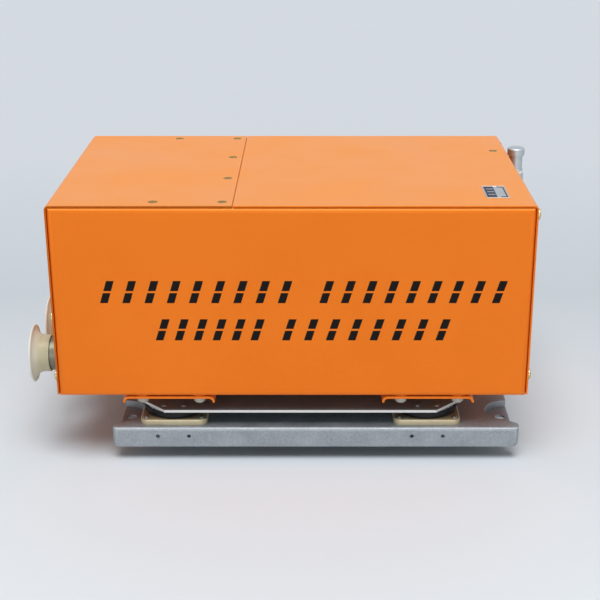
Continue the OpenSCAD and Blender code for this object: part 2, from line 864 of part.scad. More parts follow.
// Angle inside the right cover: one leg under the top, one behind the side
module union_bracket() {
    edge = nut_r + margin;
    first = union_place[1] - edge;
    length = union_screw_fwd + edge + locknut_w / 2 + margin;
    leg = body_h - union_z + locknut_w / 2 + margin;
    foot = union_screw_in + edge;
    color(orange) difference() {
        intersection() {
            union() {
                translate([side_x - foot, first, top_z - sheet]) cube([foot, length, sheet]);
                translate([side_x - sheet, first, top_z - leg]) cube([sheet, length, leg]);
            }
            translate([0, first + length / 2, top_z - body_h]) run_y(length)
                translate([0, body_h / 2]) round_rect(body_w, body_h, edge_r);
        }
        hole(union_place, screw_r + fit, top_z - 2 * sheet, top_z + over);
        out_of_side(1, side_x - 2 * sheet, union_y, body_z + union_z)
            cylinder(r = spigot_r + fit, h = 3 * sheet);
    }
}

// Channel along the underside, open downwards, with round shoulders
module rail(x) {
    color(orange) difference() {
        translate([x, 0, rail_top - rail_h]) run_y(rail_d) intersection() {
            difference() {
                round_rect(rail_w, 2 * rail_h, rail_r);
                round_rect(rail_w - 2 * rail_t, 2 * (rail_h - rail_t), rail_r - rail_t);
            }
            translate([-rail_w, 0]) square([2 * rail_w, rail_h]);
        }
        for (place = bolt_places) hole(place, bolt_r + fit, web_z - over, rail_top + over);
        for (place = iso_places) hole(place, spacer_spigot + fit, web_z - over, rail_top + over);
    }
}

// Bolts up into the housing, and bolts up through the suspended plate into the spacers
module rail_bolts() {
    shank = rail_t + washer_t + sheet + bolt_nut_h;
    soft = bolt_head_h / 4;
    color(steel) {
        at_each(bolt_places, web_z) {
            cylinder(r = bolt_r, h = shank);
            translate([0, 0, soft - bolt_head_h]) cylinder(r = bolt_head_r, h = bolt_head_h - soft);
            translate([0, 0, -bolt_head_h]) cylinder(r1 = bolt_head_r - soft, r2 = bolt_head_r, h = soft);
        }
        at_each(iso_places, susp_z) {
            cylinder(r = bolt_r, h = susp_t + spacer_thread);
            translate([0, 0, -plate_head_h]) cylinder(r = plate_head_r, h = plate_head_h, $fn = 6);
        }
    }
}

// Threaded spacers, each with a spigot closed over in the rail
module rail_spacers() {
    color(steel) at_each(iso_places, spacer_z) difference() {
        union() {
            cylinder(r = spacer_r, h = spacer_h);
            cylinder(r = spacer_spigot, h = spacer_h + rail_t);
        }
        translate([0, 0, -over]) cylinder(r = bolt_r + fit, h = spacer_thread + relief + over);
    }
}

module rail_washers() {
    color(steel) at_each(bolt_places, rail_top) ring(washer_r, bolt_r + fit, washer_t);
}

module rail_nuts() {
    color(steel) at_each(bolt_places, floor_z) difference() {
        cylinder(r = bolt_nut_r, h = bolt_nut_h, $fn = 6);
        translate([0, 0, -over]) cylinder(r = bolt_r + fit, h = bolt_nut_h + 2 * over);
    }
}

module suspended_plate() {
    x = susp_w / 2;
    y = susp_d / 2;
    color(grey) difference() {
        translate([support_x, 0, susp_z]) linear_extrude(susp_t) polygon([
            [-x + corner_x, -y], [x - corner_x, -y], [x, -y + corner_y], [x, y - corner_y],
            [x - corner_x, y], [-x + corner_x, y], [-x, y - corner_y], [-x, -y + corner_y]
        ]);
        for (place = iso_places) hole(place, bolt_r + fit, susp_z - over, spacer_z + over);
        for (place = rivet_places) hole(place, rivet_r + fit, susp_z - over, spacer_z + over);
    }
}

module plate_rivets() {
    color(steel) at_each(rivet_places, 0) rivet(susp_z - disc_t, spacer_z);
}

// Round top plate, riveted under the suspended plate
module isolator_disc(i) {
    color(steel) difference() {
        translate([iso_places[i][0], iso_places[i][1], susp_z - disc_t]) ring(disc_r, rubber_bore, disc_t);
        for (place = rivet_places) hole(place, rivet_r + fit, susp_z - disc_t - over, susp_z + over);
    }
}

// Bonded rubber: foot in the base, neck through it, wide skirt under the disc
module isolator_rubber(i) {
    rise = iso_h - disc_t;
    under = base_h + skirt_gap;
    rivet_room = rivet_head_h + fit;
    color(black) difference() {
        translate([iso_places[i][0], iso_places[i][1], tray_h]) rotate_extrude() intersection() {
            union() {
                translate([rubber_bore, 0]) square([foot_r - rubber_bore, base_h - base_t]);
                translate([rubber_bore, 0]) square([base_hole - fit - rubber_bore, rise]);
                translate([rubber_bore, under]) square([rubber_r - skirt_r - rubber_bore, rise - under]);
                translate([rubber_bore, under + skirt_r]) square([rubber_r - rubber_bore, rise - under]);
                translate([rubber_r - skirt_r, under + skirt_r]) circle(skirt_r);
            }
            square([rubber_r, rise]);
        }
        for (place = rivet_places)
            hole(place, rivet_head_r + fit, tray_h + rise - rivet_room, tray_h + rise + over);
    }
}

// Square base with rolled upper edges, recessed below for the rubber's foot
module isolator_base(i) {
    roll = base_h / 3;
    color(cream) difference() {
        translate([iso_places[i][0], iso_places[i][1], tray_h]) difference() {
            intersection() {
                translate([0, 0, -base_h]) soft_block(base_w, base_w, 2 * base_h, base_r, roll, roll);
                linear_extrude(base_h) square(base_w, center = true);
            }
            translate([0, 0, -over]) cylinder(r = base_hole, h = base_h + 2 * over);
            translate([0, 0, -over]) cylinder(r = foot_r + fit, h = base_h - base_t + over);
        }
        for (place = base_rivet_places) hole(place, rivet_r + fit, tray_h - over, tray_h + 2 * base_h);
    }
}

module base_rivets() {
    color(steel) at_each(base_rivet_places, 0) rivet(tray_h - tray_t, tray_h + base_h);
}

// Pressed tray: deck with a rim front and rear, returned round the ends, and side pockets
module mounting_tray() {
    inner_d = tray_d - 2 * tray_t;
    color(grey) difference() {
        union() {
            translate([tray_x, 0, 0]) difference() {
                intersection() {
                    linear_extrude(tray_h) tray_outline(tray_w, tray_d, return_d, tray_r, deck_w);
                    run_x(tray_w) round_rect(tray_d, 2 * tray_h, tray_bend);
                    translate([0, 0, tray_h]) run_y(tray_d) round_rect(tray_w, 2 * tray_h, tray_r);
                }
                intersection() {
                    translate([0, 0, -over]) linear_extrude(tray_h + over) union() {
                        square([tray_w + over, tray_d - 2 * return_d], center = true);
                        round_rect(tray_w - 2 * tray_t, inner_d, tray_r - tray_t);
                    }
                    run_x(2 * tray_w) round_rect(inner_d, 2 * (tray_h - tray_t), tray_bend - tray_t);
                }
            }
            for (place = pocket_places) pocket_wall(place);
        }
        for (place = pocket_places) hole(place, pocket_r, tray_h - pocket_h, tray_h + over);
        for (place = hold_places) hole(place, hold_r, 0, tray_h);
        for (place = base_rivet_places) hole(place, rivet_r + fit, 0, tray_h + over);
        for (x = rim_hole_places) translate([x, 0, rim_hole_z]) rotate([90, 0, 0])
            cylinder(r = rim_hole_r, h = tray_d + over, center = true);
    }
}

// Plan of the tray: a wide strip at the front and the rear, joined by a narrower deck
module tray_outline(w, d, strip, r, deck) {
    square([deck, d - 2 * r], center = true);
    for (y = [-1, 1]) translate([0, y * (d - strip) / 2]) round_rect(w, strip, r);
}

// Wall and floor of one pocket, cut off at the deck's side edge
module pocket_wall(place) {
    intersection() {
        hole(place, pocket_r + tray_t, tray_h - pocket_h - tray_t, tray_h);
        translate([tray_x - deck_w / 2, -tray_d / 2, 0]) cube([deck_w, tray_d, tray_h]);
    }
}

// Circuit board with its post holes, placed by its underside
module bare_board(level) {
    difference() {
        translate([board_x, 0, level]) linear_extrude(board_t) round_rect(board_w, board_d, board_r);
        for (place = post_places) hole(place, post_screw_r + fit, level - over, level + board_t + over);
    }
}

// Row of like packages soldered along a board
module package_row(level, x, count, w, d, h) {
    pitch = (board_d - 2 * package_in) / count;
    for (n = [0 : count - 1])
        translate([board_x + x - w / 2, (n - (count - 1) / 2) * pitch - d / 2, level])
            cube([w, d, h]);
}

module interface_board() {
    top = interface_z + board_t;
    color(board_green) union() {
        bare_board(interface_z);
        for (y = connector_places)
            translate([board_left, y - header_w, top]) cube([header_w, 2 * header_w, header_h]);
        package_row(top, driver_x, 5, driver_w, driver_d, driver_h);
    }
}

module processor_board() {
    top = processor_z + board_t;
    color(board_green) union() {
        bare_board(processor_z);
        translate([board_right - header_w, -2 * header_w, top]) cube([header_w, 4 * header_w, header_h]);
        package_row(top, chip_x, 4, chip_w, chip_w, chip_h);
    }
}

// Power board: two transformers and a row of upright capacitors
module power_board() {
    top = power_z + board_t;
    color(board_green) union() {
        bare_board(power_z);
        package_row(top, coil_x, 2, coil_w, coil_d, coil_h);
        for (n = [-1, 0, 1])
            translate([board_right - can_in, n * can_pitch, top]) cylinder(r = can_r, h = can_h);
    }
}

module board_posts() {
    color(steel) for (i = [0 : 2])
        at_each(post_places, post_feet[i]) ring(post_r, post_screw_r + fit, board_levels[i] - post_feet[i]);
}

module board_screws() {
    top = power_z + board_t;
    color(steel) at_each(post_places, top) {
        cylinder(r = post_r, h = post_head_h);
        translate([0, 0, -post_screw_len]) cylinder(r = post_screw_r, h = post_screw_len);
    }
}

// Puts a shape on the capsule's axis at one level
module at_capsule(level) {
    translate([capsule_x, 0, level]) children();
}

// Places round the capsule's bolt circle
function bolt_ring(count) = [
    for (n = [0 : count - 1])
        bolt_circle * [cos(360 * (n + 0.5) / count), sin(360 * (n + 0.5) / count)]
];

module capsule_base() {
    color(steel) at_capsule(floor_z) difference() {
        linear_extrude(capsule_base_t) round_rect(capsule_base_w, capsule_base_d, capsule_wall);
        for (place = bolt_ring(foot_bolts))
            hole(place, capsule_bolt_r + fit, capsule_base_t - bolt_sink, capsule_base_t + over);
    }
}

// Way of the memory cable through the capsule and its insulation
module cable_way() {
    translate([-capsule_r - over, 0, cable_z]) rotate([0, 90, 0])
        cylinder(r = cable_r + fit, h = capsule_r + over);
}

module capsule_body() {
    color(orange) difference() {
        at_capsule(capsule_z) difference() {
            union() {
                cylinder(r = capsule_r, h = capsule_h);
                cylinder(r = capsule_flange_r, h = capsule_flange_t);
                translate([0, 0, capsule_h - capsule_flange_t])
                    cylinder(r = capsule_flange_r, h = capsule_flange_t);
            }
            translate([0, 0, capsule_wall]) cylinder(r = capsule_in, h = capsule_h);
            for (place = bolt_ring(foot_bolts))
                hole(place, capsule_bolt_r + fit, -over, capsule_flange_t + over);
            for (place = bolt_ring(lid_bolts))
                hole(place, capsule_bolt_r + fit, capsule_h - 2 * capsule_flange_t, capsule_h + over);
        }
        translate([capsule_x, 0, 0]) cable_way();
    }
}

module capsule_gasket() {
    color(black) at_capsule(capsule_z + capsule_h) difference() {
        ring(capsule_flange_r, capsule_in, gasket_t);
        for (place = bolt_ring(lid_bolts)) hole(place, capsule_bolt_r + fit, -over, gasket_t + over);
    }
}

module capsule_lid() {
    color(orange) at_capsule(lid_z) difference() {
        cylinder(r = capsule_flange_r, h = capsule_flange_t);
        for (place = bolt_ring(lid_bolts)) hole(place, capsule_bolt_r + fit, -over, capsule_flange_t + over);
    }
}

// Cap screw, its head seated at the origin
module cap_screw(length) {
    translate([0, 0, -length]) cylinder(r = capsule_bolt_r, h = length);
    difference() {
        cylinder(r = bolt_cap_r, h = bolt_cap_h);
        translate([0, 0, bolt_cap_h / 2]) cylinder(r = capsule_bolt_r, h = bolt_cap_h, $fn = 6);
    }
}

module lid_screws() {
    length = 2 * capsule_flange_t + gasket_t;
    color(steel) at_capsule(lid_z + capsule_flange_t) at_each(bolt_ring(lid_bolts), 0) cap_screw(length);
}

module foot_screws() {
    length = capsule_flange_t + bolt_sink;
    color(steel) at_capsule(capsule_z + capsule_flange_t) at_each(bolt_ring(foot_bolts), 0) cap_screw(length);
}

module insulation_cup() {
    color("white") difference() {
        at_capsule(capsule_z + capsule_wall) difference() {
            cylinder(r = insulation_r, h = cavity_h - insulation_t);
            translate([0, 0, insulation_t]) cylinder(r = insulation_r - insulation_t, h = cavity_h);
        }
        translate([capsule_x, 0, 0]) cable_way();
    }
}

module insulation_plug() {
    color("white") at_capsule(capsule_z + capsule_h - insulation_t)
        cylinder(r = insulation_r, h = insulation_t);
}

module memory_module() {
    corner = 4;
    color(black) at_capsule(memory_z) linear_extrude(memory_h) round_rect(memory_w, memory_w, corner);
}

module memory_cable() {
    length = capsule_x - memory_w / 2 - board_right;
    color(black) translate([board_right, 0, cable_z]) rotate([0, 90, 0]) cylinder(r = cable_r, h = length);
}

// Moves a piece from the housing's middle to the middle of the whole footprint
module framed() {
    translate([centre_shift, 0, 0]) children();
}

framed() chassis();
framed() left_cover();
framed() right_cover();
framed() cover_screws();
framed() side_screws();
framed() cover_nuts();
framed() bulkhead();
framed() data_plate();
framed() connector_bracket();
framed() connector_shell(0);  // connector_shell_front
framed() connector_shell(1);  // connector_shell_rear
framed() connector_insert(0);  // connector_insert_front
framed() connector_insert(1);  // connector_insert_rear
framed() connector_pins();
framed() connector_screws();
framed() connector_leads();
framed() dust_cap(0);  // dust_cap_front
framed() dust_cap(1);  // dust_cap_rear
framed() union_elbow();
framed() union_seal();
framed() union_cap();
framed() union_locknut();
framed() union_bracket();
framed() rail(rail_x[0]);  // left_rail
framed() rail(rail_x[1]);  // right_rail
framed() rail_bolts();
framed() rail_spacers();
framed() rail_washers();
framed() rail_nuts();
framed() suspended_plate();
framed() plate_rivets();
framed() isolator_disc(0);  // isolator_disc_fl
framed() isolator_disc(1);  // isolator_disc_fr
framed() isolator_disc(2);  // isolator_disc_rl
framed() isolator_disc(3);  // isolator_disc_rr
framed() isolator_rubber(0);  // isolator_rubber_fl
framed() isolator_rubber(1);  // isolator_rubber_fr
framed() isolator_rubber(2);  // isolator_rubber_rl
framed() isolator_rubber(3);  // isolator_rubber_rr
framed() isolator_base(0);  // isolator_base_fl
framed() isolator_base(1);  // isolator_base_fr
framed() isolator_base(2);  // isolator_base_rl
framed() isolator_base(3);  // isolator_base_rr
framed() base_rivets();
framed() mounting_tray();
framed() interface_board();
framed() processor_board();
framed() power_board();
framed() board_posts();
framed() board_screws();
framed() capsule_base();
framed() capsule_body();
framed() capsule_gasket();
framed() capsule_lid();
framed() lid_screws();
framed() foot_screws();
framed() insulation_cup();
framed() insulation_plug();
framed() memory_module();
framed() memory_cable();
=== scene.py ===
"""Looks of a flight data recorder on its anti-vibration mounting tray."""
import json
import math

import bmesh
import bpy
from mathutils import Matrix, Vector


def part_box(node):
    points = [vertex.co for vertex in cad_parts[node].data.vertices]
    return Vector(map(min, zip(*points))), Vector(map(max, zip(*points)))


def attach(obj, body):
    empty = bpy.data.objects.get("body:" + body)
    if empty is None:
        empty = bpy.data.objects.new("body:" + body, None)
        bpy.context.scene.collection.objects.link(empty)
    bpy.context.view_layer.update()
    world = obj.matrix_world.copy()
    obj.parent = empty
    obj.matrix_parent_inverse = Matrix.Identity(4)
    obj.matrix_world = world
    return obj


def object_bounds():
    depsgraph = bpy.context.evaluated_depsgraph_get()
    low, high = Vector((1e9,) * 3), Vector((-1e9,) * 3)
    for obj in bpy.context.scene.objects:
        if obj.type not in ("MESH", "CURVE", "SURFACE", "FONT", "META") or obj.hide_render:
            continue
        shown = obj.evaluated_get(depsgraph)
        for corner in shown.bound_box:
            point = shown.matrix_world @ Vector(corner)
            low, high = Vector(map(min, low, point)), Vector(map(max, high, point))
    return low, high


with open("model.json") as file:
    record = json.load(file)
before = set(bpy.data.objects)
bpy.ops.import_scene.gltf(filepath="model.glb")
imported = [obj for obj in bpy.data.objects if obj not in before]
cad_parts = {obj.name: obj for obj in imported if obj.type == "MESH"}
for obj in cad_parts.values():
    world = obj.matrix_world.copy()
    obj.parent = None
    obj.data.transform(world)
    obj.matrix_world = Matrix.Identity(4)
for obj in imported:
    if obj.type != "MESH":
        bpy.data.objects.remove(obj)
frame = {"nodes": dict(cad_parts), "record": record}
cad_low, cad_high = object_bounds()
nodes = frame["nodes"]
scene = bpy.context.scene
MM = 0.001

# Stencilled rows on the front panel: left end, right end, lower edge, height and number of slashes, in
# millimetres from the middle and the lower edge of the panel
STENCIL_GROUPS = [
    (-160.0, 0.5, 85.8, 19.5, 9),
    (22.8, 179.0, 85.8, 19.5, 9),
    (-115.0, -22.8, 52.3, 19.0, 6),
    (-8.6, 133.0, 52.3, 19.0, 8),
]
STENCIL_STROKE = 6.4 * MM
STENCIL_LEAN = 6.0 * MM
STENCIL_BRIDGE = 1.8 * MM
STENCIL_RAISE = 0.08 * MM

# Data plate: printed fields that lie inside its rim, a little below the rim's face
PLATE_RIM = 1.2 * MM
PLATE_RECESS = 0.2 * MM
PLATE_SPLIT = 0.54
PLATE_LINE = 1.1 * MM
PLATE_BAND = 2.86 * MM
PLATE_PRINT = 0.08 * MM
PLATE_BAR_INSET = 1.6 * MM
PLATE_BAR_LENGTH = 6.0 * MM
PLATE_BAR_WIDTH = 2.6 * MM
PLATE_BAR_PITCH = 8.5 * MM
PLATE_BAR_PRINT = 0.06 * MM

# Where a dust cap turns paler towards its lip, measured from the part's left end
CAP_LIP_START = 8.1 * MM
CAP_LIP_FULL = 2.1 * MM

# Width of the small rounds on edges that catch the light
EDGE_ROUND = {
    "chassis": 0.25 * MM,
    "left_cover": 0.45 * MM,
    "right_cover": 0.45 * MM,
    "mounting_tray": 0.3 * MM,
    "suspended_plate": 0.25 * MM,
    "left_rail": 0.3 * MM,
    "right_rail": 0.3 * MM,
    "data_plate": 0.1 * MM,
    "union_cap": 0.3 * MM,
    "side_screws": 0.25 * MM,
}
WELD_REACH = 0.001 * MM
FLAT_ANGLE = math.radians(0.3)
SHARP_ANGLE = math.radians(40)

# Floor: the tray stands clear of it, as in the photo, and its tone changes from the front to the rear
FLOOR_DROP = 12.4 * MM
FLOOR_REACH = 9.0
FLOOR_FRONT = -0.35
FLOOR_REAR = 0.95
# Painted light on the floor: lightest in front of the object, darkest just behind it, a little lighter again
# at the rear
FLOOR_PAINTED_LIGHT_TONES = ((0.735, 0.80, 0.855), (0.525, 0.58, 0.63), (0.607, 0.645, 0.70))

# Light: a sky that brightens towards the rear, the plain surround that is seen, and two broad lamps with
# their spread in degrees
SKY_TINT = (1.0, 0.985, 0.96, 1)
SKY_GLOW = {"From Min": 0.6, "From Max": 0.95, "To Min": 0.25, "To Max": 1.35}
SURROUND = (0.66, 0.695, 0.745, 1)
KEY_LIGHT = {"source": (0.0, -0.3, 0.95), "strength": 2.4, "spread": 40}
FILL_LIGHT = {"source": (0.0, -1.0, 0.06), "strength": 0.75, "spread": 30}

# Camera at the photo's angle, pitched down in degrees
CAMERA_PLACE = (0.0207, -1.1201, 0.5090)
CAMERA_PITCH = 20.46
CAMERA_SENSOR = 36
CAMERA_LENS = 76.5
CAMERA_SHIFT = -0.0242


class Recipe:
    """A material in the making: patterns measured in metres on the object, led into one shader."""

    def __init__(self, name):
        self.material = bpy.data.materials.new(name)
        self.material.use_nodes = True
        self.tree = self.material.node_tree
        self.shader = self.tree.nodes["Principled BSDF"]
        spots = self.add("ShaderNodeTexCoord").outputs
        self.place = spots["Object"]
        self.facing = spots["Normal"]

    def add(self, kind, **settings):
        made = self.tree.nodes.new(kind)
        for name, value in settings.items():
            setattr(made, name, value)
        return made

    def feed(self, socket, value):
        """Links a pattern to a socket, or sets the socket to a plain value."""
        if isinstance(value, bpy.types.NodeSocket):
            self.tree.links.new(value, socket)
        else:
            socket.default_value = value

    def stretched(self, stretch):
        mapping = self.add("ShaderNodeMapping")
        self.feed(mapping.inputs["Vector"], self.place)
        mapping.inputs["Scale"].default_value = stretch
        return mapping.outputs["Vector"]

    def noise(self, size, detail=3.0, stretch=None):
        """Cloudy pattern with patches about size across."""
        pattern = self.add("ShaderNodeTexNoise")
        self.feed(pattern.inputs["Vector"], self.stretched(stretch) if stretch else self.place)
        pattern.inputs["Scale"].default_value = 1 / size
        pattern.inputs["Detail"].default_value = detail
        return pattern.outputs["Fac"]

    def cells(self, size):
        """Grainy pattern of cells about size across."""
        pattern = self.add("ShaderNodeTexVoronoi")
        self.feed(pattern.inputs["Vector"], self.place)
        pattern.inputs["Scale"].default_value = 1 / size
        return pattern.outputs["Distance"]

    def span(self, source, low, high, to_low=0.0, to_high=1.0):
        """Stretches a pattern's range between low and high, and clips the rest."""
        made = self.add("ShaderNodeMapRange")
        for name, value in (("Value", source), ("From Min", low), ("From Max", high),
                            ("To Min", to_low), ("To Max", to_high)):
            self.feed(made.inputs[name], value)
        return made.outputs["Result"]

    def rough(self, pattern, low, high):
        """Roughness between low and high, over the usual range of a cloudy pattern."""
        return self.span(pattern, 0.3, 0.7, low, high)

    def along(self, vector, axis):
        """One axis of a place or a direction."""
        split = self.add("ShaderNodeSeparateXYZ")
        self.feed(split.inputs["Vector"], vector)
        return split.outputs[axis]

    def combine(self, operation, first, second):
        made = self.add("ShaderNodeMath", operation=operation)
        self.feed(made.inputs[0], first)
        self.feed(made.inputs[1], second)
        return made.outputs["Value"]

    def times(self, first, second):
        return self.combine("MULTIPLY", first, second)

    def blend(self, first, first_share, second, second_share):
        """Weighted sum of two patterns."""
        return self.combine("ADD", self.times(first, first_share), self.times(second, second_share))

    def colours(self, source, *stops):
        """Colour ramp of evenly spaced stops."""
        made = self.add("ShaderNodeValToRGB")
        ramp = made.color_ramp
        for _ in stops[2:]:
            ramp.elements.new(0.5)
        for i, (element, colour) in enumerate(zip(ramp.elements, stops)):
            element.position = i / (len(stops) - 1)
            element.color = (*colour, 1)
        self.feed(made.inputs["Fac"], source)
        return made.outputs["Color"]

    def mix(self, share, first, second):
        """Blends two colours by a pattern."""
        made = self.add("ShaderNodeMix", data_type="RGBA")
        self.feed(made.inputs["Factor"], share)
        colour_in = [s for s in made.inputs if s.type == "RGBA"]
        for socket, colour in zip(colour_in, (first, second)):
            self.feed(socket, colour if isinstance(colour, bpy.types.NodeSocket) else (*colour, 1))
        return next(s for s in made.outputs if s.type == "RGBA")

    def edges(self, radius):
        """1 along sharp edges, within about radius, and 0 on flat faces."""
        rounded = self.add("ShaderNodeBevel", samples=6)
        rounded.inputs["Radius"].default_value = radius
        flat = self.add("ShaderNodeNewGeometry")
        dot = self.add("ShaderNodeVectorMath", operation="DOT_PRODUCT")
        self.feed(dot.inputs[0], rounded.outputs["Normal"])
        self.feed(dot.inputs[1], flat.outputs["Normal"])
        return self.span(dot.outputs["Value"], 0.99, 0.8)

    def hollows(self, reach):
        """Mask for painted shade from ambient occlusion: 1 deep in seams and corners, and 0 in the open."""
        shade = self.add("ShaderNodeAmbientOcclusion", samples=8)
        shade.inputs["Distance"].default_value = reach
        return self.span(shade.outputs["AO"], 0.75, 0.25)

    def bump(self, height, depth, strength, under=None):
        made = self.add("ShaderNodeBump")
        made.inputs["Strength"].default_value = strength
        made.inputs["Distance"].default_value = depth
        self.feed(made.inputs["Height"], height)
        if under:
            self.feed(made.inputs["Normal"], under)
        return made.outputs["Normal"]

    def finish(self, colour, roughness, normal, plain=None):
        """Leads the patterns into the shader; plain values go to the sockets they name."""
        self.feed(self.shader.inputs["Base Color"], colour)
        self.feed(self.shader.inputs["Roughness"], roughness)
        self.feed(self.shader.inputs["Normal"], normal)
        for name, value in (plain or {}).items():
            self.shader.inputs[name].default_value = value
        return self.material


def orange_paint(name="orange_paint", edge_shade=0.0):
    """Semi-gloss paint with a painted sheen on top; edge_shade sets painted shade on the cut edges that face
    the front.
    """
    make = Recipe(name)
    cloud = make.noise(70 * MM, 2)
    grain = make.noise(3.5 * MM, 4)
    tone = make.blend(cloud, 0.7, grain, 0.3)
    paint = make.colours(tone, (0.82, 0.156, 0.006), (0.87, 0.173, 0.009), (0.91, 0.190, 0.012))
    # Painted sheen: faces that look up turn a paler orange, standing in for the reflection of a bright
    # backdrop
    painted_top_sheen = make.span(make.along(make.facing, "Z"), 0.3, 0.9, 0.0, 0.8)
    paint = make.mix(painted_top_sheen, paint, (0.90, 0.318, 0.050))
    # Painted shade: when edge_shade is above 0, cut edges that face the front turn a dark brown-orange
    cut = make.span(make.along(make.facing, "Y"), -0.5, -0.95, 0.0, edge_shade)
    paint = make.mix(cut, paint, (0.40, 0.09, 0.008))
    thin = make.times(make.edges(0.9 * MM), make.span(make.noise(12 * MM, 4), 0.35, 0.75))
    paint = make.mix(make.times(thin, 0.55), paint, (0.86, 0.36, 0.12))
    # Painted shade with some grime: darker in seams and corners, from ambient occlusion
    shade_and_grime = make.times(make.hollows(1.5 * MM), 0.25)
    paint = make.mix(shade_and_grime, paint, (0.34, 0.07, 0.012))
    peel = make.bump(make.noise(2.2 * MM, 2), 0.12 * MM, 0.35)
    fine = make.bump(make.noise(0.7 * MM, 2), 0.04 * MM, 0.3, under=peel)
    return make.finish(paint, make.rough(cloud, 0.34, 0.46), fine,
                       {"Specular IOR Level": 0.5, "Specular Tint": (1.0, 1.0, 0.3, 1.0)})


def grey_coat():
    """Conversion coat of the tray: mottled, worn bright on its edges, and darker in its corners from painted
    shade and grime.
    """
    make = Recipe("grey_coat")
    cloud = make.noise(16 * MM, 4)
    spangle = make.cells(2.2 * MM)
    tone = make.span(make.blend(cloud, 0.75, spangle, 0.35), 0.25, 0.85)
    coat = make.colours(tone, (0.255, 0.285, 0.31), (0.33, 0.362, 0.39), (0.405, 0.435, 0.465))
    bright = make.times(make.edges(0.9 * MM), make.span(make.noise(6 * MM, 3), 0.3, 0.6))
    coat = make.mix(make.times(bright, 0.5), coat, (0.66, 0.68, 0.70))
    # Painted shade with some grime: darker in seams and corners, from ambient occlusion
    shade_and_grime = make.times(make.hollows(5 * MM), 0.5)
    coat = make.mix(shade_and_grime, coat, (0.06, 0.055, 0.05))
    blast = make.bump(make.noise(1.2 * MM, 3), 0.08 * MM, 0.5)
    return make.finish(coat, make.rough(cloud, 0.42, 0.6), blast, {"Metallic": 0.55})


def milled_plate():
    """Coated plate with rolling streaks, and bare metal where its edges are cut."""
    make = Recipe("milled_plate")
    streak = make.noise(1.2 * MM, 3, stretch=(0.04, 1, 1))
    cloud = make.noise(30 * MM, 3)
    metal = make.colours(streak, (0.20, 0.26, 0.30), (0.30, 0.37, 0.41))
    metal = make.mix(make.span(cloud, 0.45, 0.75, 0.0, 0.35), metal, (0.22, 0.23, 0.24))
    level = make.combine("ABSOLUTE", make.along(make.facing, "Z"), 0.0)
    metal = make.mix(make.span(level, 0.9, 0.4), metal, (0.74, 0.74, 0.72))
    grain = make.bump(streak, 0.03 * MM, 0.5)
    return make.finish(metal, make.rough(streak, 0.4, 0.54), grain, {"Metallic": 0.5})


def cream_coat():
    """Flecked cream coat, with a painted highlight on its edges and painted shade on the faces that look up.
    """
    make = Recipe("cream_coat")
    cloud = make.noise(12 * MM, 4)
    fleck = make.noise(1.1 * MM, 3)
    coat = make.colours(cloud, (0.44, 0.37, 0.21), (0.56, 0.48, 0.31), (0.62, 0.55, 0.40))
    coat = make.mix(make.span(fleck, 0.62, 0.72, 0.0, 0.5), coat, (0.34, 0.30, 0.17))
    # Painted highlight: edges blend towards a pale cream
    coat = make.mix(make.times(make.edges(0.8 * MM), 0.7), coat, (0.78, 0.72, 0.56))
    # Painted shade: faces that look up darken, as they lie in the shade of the box above
    painted_top_shade = make.span(make.along(make.facing, "Z"), 0.6, 0.95, 0.0, 0.35)
    coat = make.mix(painted_top_shade, coat, (0.22, 0.17, 0.10))
    # Painted shade with some grime: darker in seams and corners, from ambient occlusion
    shade_and_grime = make.times(make.hollows(4 * MM), 0.6)
    coat = make.mix(shade_and_grime, coat, (0.10, 0.08, 0.05))
    grain = make.bump(fleck, 0.04 * MM, 0.5)
    return make.finish(coat, make.rough(cloud, 0.32, 0.48), grain, {"Metallic": 0.25})


def turned_metal(name, dark, light, rough):
    """Bare metal with fine tool marks and a little handling stain."""
    make = Recipe(name)
    marks = make.noise(0.6 * MM, 3, stretch=(1, 1, 6))
    stain = make.noise(4 * MM, 4)
    metal = make.colours(stain, dark, light)
    metal = make.mix(make.edges(0.4 * MM), metal, tuple(min(1, 1.25 * value) for value in light))
    tooled = make.bump(marks, 0.02 * MM, 0.4)
    return make.finish(metal, make.rough(stain, rough, rough + 0.14), tooled, {"Metallic": 1.0})


def passivated(name, shine, *tints):
    """Plated screws, cloudy in tone, with painted shade and dirt darkening their slots."""
    make = Recipe(name)
    tint = make.noise(3 * MM, 3)
    metal = make.colours(tint, *tints)
    # Painted shade with some dirt: darker deep in the slots, from ambient occlusion
    shade_and_grime = make.times(make.hollows(2 * MM), 0.8)
    metal = make.mix(shade_and_grime, metal, (0.05, 0.04, 0.02))
    grain = make.bump(tint, 0.03 * MM, 0.4)
    return make.finish(metal, make.rough(tint, 0.2, 0.34), grain,
                       {"Metallic": shine, "Specular Tint": (0.85, 0.68, 0.3, 1.0)})


def moulded(name, dark, light, rough, plain=None):
    """Moulded plastic or rubber: faint flow marks, fine grain and scuffs."""
    make = Recipe(name)
    flow = make.noise(10 * MM, 3)
    grain = make.bump(make.noise(0.9 * MM, 3), 0.05 * MM, 0.5)
    colour = make.colours(flow, dark, light)
    scuff = make.span(make.noise(2.5 * MM, 4), 0.6, 0.75, 0.0, 0.25)
    colour = make.mix(scuff, colour, tuple(min(1, 0.02 + 1.3 * value) for value in light))
    return make.finish(colour, make.rough(flow, rough, rough + 0.15), grain, plain)


